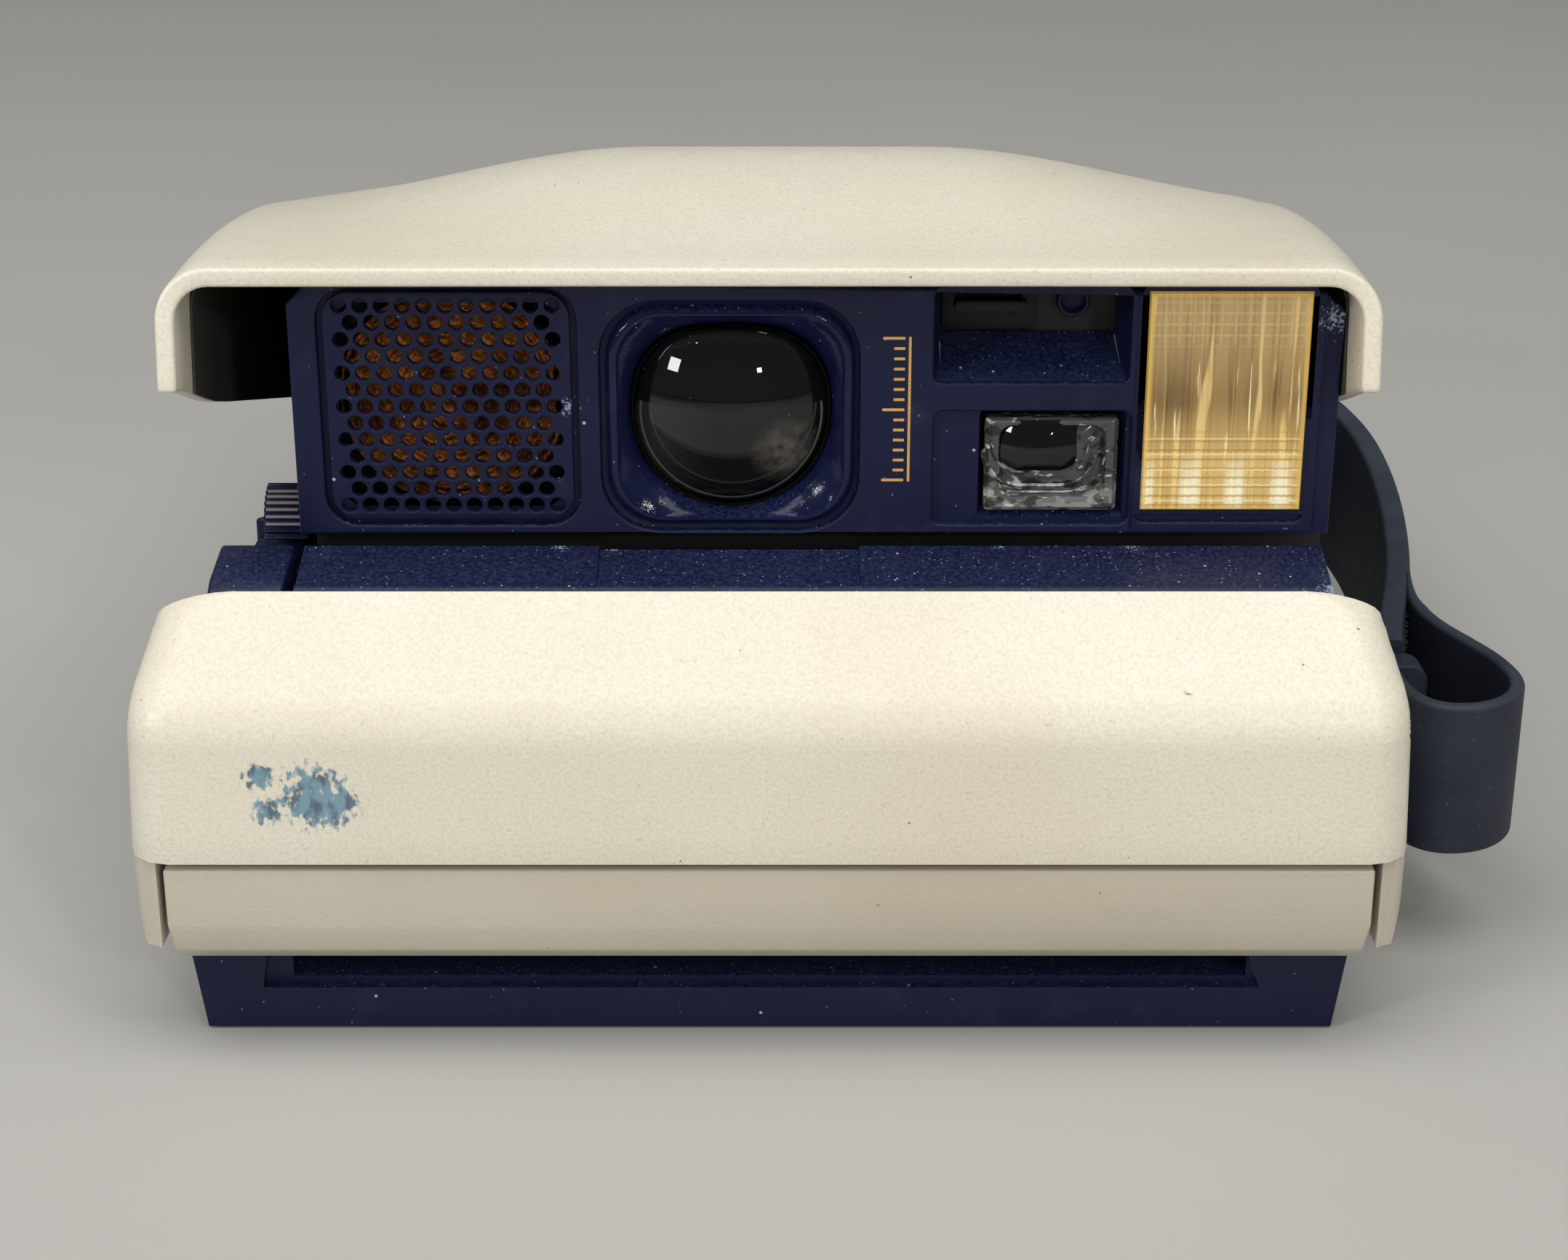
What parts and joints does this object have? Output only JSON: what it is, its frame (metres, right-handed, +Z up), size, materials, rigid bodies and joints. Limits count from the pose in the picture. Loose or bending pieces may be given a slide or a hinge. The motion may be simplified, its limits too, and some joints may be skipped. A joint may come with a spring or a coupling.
{
  "type": "instant camera",
  "caption": "Folding wide-format instant camera, standing open: hinged top unit with sonar grille, domed lens, viewfinder and amber flash over a film body with side hand strap.",
  "frame": {"origin": "centre of the flat base that the camera stands on, midway across the body", "axes": "+X to the viewer's right when facing the lens, +Y from the lens towards the back of the camera, +Z up"},
  "size_m": [0.1681, 0.204, 0.095],
  "materials": {
    "cream_shell": "fine satin texture",
    "cream_lower": "fine satin texture",
    "navy_shell": "fine satin texture",
    "navy_gloss": "polished",
    "black_plastic": "matt, light-absorbing",
    "strap_rubber": "matt moulded rubber",
    "bellows_cloth": "thin pleated rubber",
    "steel": "brushed",
    "zinc_plate": "stamped",
    "brass": "turned",
    "gold_foil": "metallised foil",
    "lens_glass": "coated glass",
    "clear_plastic": "polished clear moulding",
    "amber_plastic": "ribbed amber moulding",
    "reflector": "metallised",
    "mirror_glass": "front-silvered",
    "gear_nylon": "moulded nylon",
    "circuit_board": "coated laminate",
    "grey_knob": "satin"
  },
  "bodies": {
    "lower_body": {"lower_housing": "navy_shell", "front_cover": "cream_shell", "left_cheek": "cream_lower", "right_cheek": "cream_lower", "shoulder_block": "navy_shell", "film_chamber": "black_plastic", "mirror_carrier": "black_plastic", "main_mirror": "mirror_glass", "battery_contacts": "brass", "main_board": "circuit_board", "motor": "zinc_plate", "tripod_bush": "brass", "strap_lug": "navy_shell", "strap_rear_anchor": "navy_shell", "strap_band": "strap_rubber", "strap_tail": "strap_rubber", "base_screws": "steel", "hinge_brackets": "zinc_plate", "hinge_pins": "steel", "bellows": "bellows_cloth", "door_hinge_pins": "steel"},
    "motor_pinion": {"motor_pinion": "gear_nylon"},
    "idler_gear_a": {"idler_gear_a": "gear_nylon"},
    "idler_gear_b": {"idler_gear_b": "gear_nylon"},
    "pick_arm": {"pick_arm": "zinc_plate"},
    "cover_strut": {"cover_strut": "steel"},
    "close_latch": {"close_latch": "navy_shell"},
    "shutter_button": {"shutter_button": "navy_shell"},
    "front_flap": {"front_flap": "navy_shell"},
    "film_door": {"door_face": "cream_lower", "door_lip": "navy_shell", "roller_frame": "zinc_plate"},
    "upper_roller": {"upper_roller": "steel"},
    "lower_roller": {"lower_roller": "steel"},
    "door_latch": {"door_latch": "navy_shell"},
    "upper_unit": {"top_cover": "cream_shell", "inner_chassis": "black_plastic", "lens_panel": "navy_shell", "sonar_grille": "navy_shell", "sonar_transducer": "gold_foil", "lens_bezel": "navy_gloss", "front_lens": "lens_glass", "lens_barrel": "black_plastic", "shutter_plate": "black_plastic", "light_sensor": "black_plastic", "finder_lens": "clear_plastic", "finder_tube": "black_plastic", "finder_eyepiece": "clear_plastic", "flash_lens": "amber_plastic", "flash_reflector": "reflector", "flash_tube": "clear_plastic", "rear_panel": "navy_shell", "display_window": "black_plastic"},
    "focus_element": {"focus_element": "zinc_plate"},
    "shutter_blade_left": {"shutter_blade_left": "black_plastic"},
    "shutter_blade_right": {"shutter_blade_right": "black_plastic"},
    "flash_switch": {"flash_switch": "grey_knob"},
    "focus_switch": {"focus_switch": "grey_knob"},
    "exposure_switch": {"exposure_switch": "grey_knob"},
    "timer_button": {"timer_button": "grey_knob"}
  },
  "joints": [
    {"name": "cover_fold", "type": "hinge", "parent": "lower_body", "child": "upper_unit", "pos_m": [0, 0.095, 0.0524], "axis": [1, 0, 0], "range_deg": [0, 10.4], "deforming": ["bellows"]},
    {"name": "flap_fold", "type": "hinge", "parent": "lower_body", "child": "front_flap", "pos_m": [0, -0.0854, 0.0536], "axis": [-1, 0, 0], "range_deg": [0, 80]},
    {"name": "strut_fold", "type": "hinge", "parent": "lower_body", "child": "cover_strut", "pos_m": [0, 0.012, 0.028], "axis": [1, 0, 0], "range_deg": [0, 30]},
    {"name": "door_swing", "type": "hinge", "parent": "lower_body", "child": "film_door", "pos_m": [0, -0.07, 0.003], "axis": [1, 0, 0], "range_deg": [0, 75]},
    {"name": "upper_roller_spin", "type": "hinge", "parent": "film_door", "child": "upper_roller", "pos_m": [0, -0.078, 0.0137], "axis": [1, 0, 0], "continuous": true},
    {"name": "lower_roller_spin", "type": "hinge", "parent": "film_door", "child": "lower_roller", "pos_m": [0, -0.078, 0.0069], "axis": [1, 0, 0], "continuous": true},
    {"name": "idler_b_spin", "type": "hinge", "parent": "lower_body", "child": "idler_gear_b", "pos_m": [0, -0.06439, 0.016], "axis": [1, 0, 0], "continuous": true},
    {"name": "idler_a_spin", "type": "hinge", "parent": "lower_body", "child": "idler_gear_a", "pos_m": [0, -0.04819, 0.016], "axis": [1, 0, 0], "continuous": true},
    {"name": "pinion_spin", "type": "hinge", "parent": "lower_body", "child": "motor_pinion", "pos_m": [0, -0.03799, 0.016], "axis": [1, 0, 0], "continuous": true},
    {"name": "pick_slide", "type": "slide", "parent": "lower_body", "child": "pick_arm", "axis": [0, -1, 0], "range_m": [0, 0.006]},
    {"name": "shutter_press", "type": "slide", "parent": "lower_body", "child": "shutter_button", "axis": [0, 0, -1], "range_m": [0, 0.002], "stiffness_N_per_m": 400},
    {"name": "close_latch_slide", "type": "slide", "parent": "lower_body", "child": "close_latch", "axis": [0, 1, 0], "range_m": [0, 0.006], "stiffness_N_per_m": 80},
    {"name": "door_latch_slide", "type": "slide", "parent": "lower_body", "child": "door_latch", "axis": [0, -1, 0], "range_m": [0, 0.003], "stiffness_N_per_m": 120},
    {"name": "focus_swing", "type": "hinge", "parent": "upper_unit", "child": "focus_element", "pos_m": [0.0101, -0.0636, 0.0814], "axis": [0, 1, 0], "range_deg": [0, 30]},
    {"name": "left_blade_swing", "type": "hinge", "parent": "upper_unit", "child": "shutter_blade_left", "pos_m": [-0.0175, -0.0582, 0.0634], "axis": [0, 1, 0], "range_deg": [0, 14]},
    {"name": "right_blade_swing", "type": "hinge", "parent": "upper_unit", "child": "shutter_blade_right", "pos_m": [0.0085, -0.0572, 0.0634], "axis": [0, 1, 0], "range_deg": [-14, 0]},
    {"name": "flash_switch_slide", "type": "slide", "parent": "upper_unit", "child": "flash_switch", "axis": [1, 0, 0], "range_m": [-0.002, 0.002]},
    {"name": "focus_switch_slide", "type": "slide", "parent": "upper_unit", "child": "focus_switch", "axis": [1, 0, 0], "range_m": [-0.002, 0.002]},
    {"name": "exposure_switch_slide", "type": "slide", "parent": "upper_unit", "child": "exposure_switch", "axis": [1, 0, 0], "range_m": [-0.002, 0.002]},
    {"name": "timer_press", "type": "slide", "parent": "upper_unit", "child": "timer_button", "axis": [0, -0.9836, 0.1805], "range_m": [0, 0.0015], "stiffness_N_per_m": 300}
  ],
  "couplings": [
    {"joint": "flap_fold", "follows": "cover_fold", "ratio": 7.5},
    {"joint": "strut_fold", "follows": "cover_fold", "ratio": 2.79},
    {"joint": "lower_roller_spin", "follows": "upper_roller_spin", "ratio": -1},
    {"joint": "idler_b_spin", "follows": "upper_roller_spin", "ratio": -0.53333},
    {"joint": "idler_a_spin", "follows": "upper_roller_spin", "ratio": 0.66667},
    {"joint": "pinion_spin", "follows": "upper_roller_spin", "ratio": -1.6},
    {"joint": "right_blade_swing", "follows": "left_blade_swing", "ratio": -1}
  ]
}
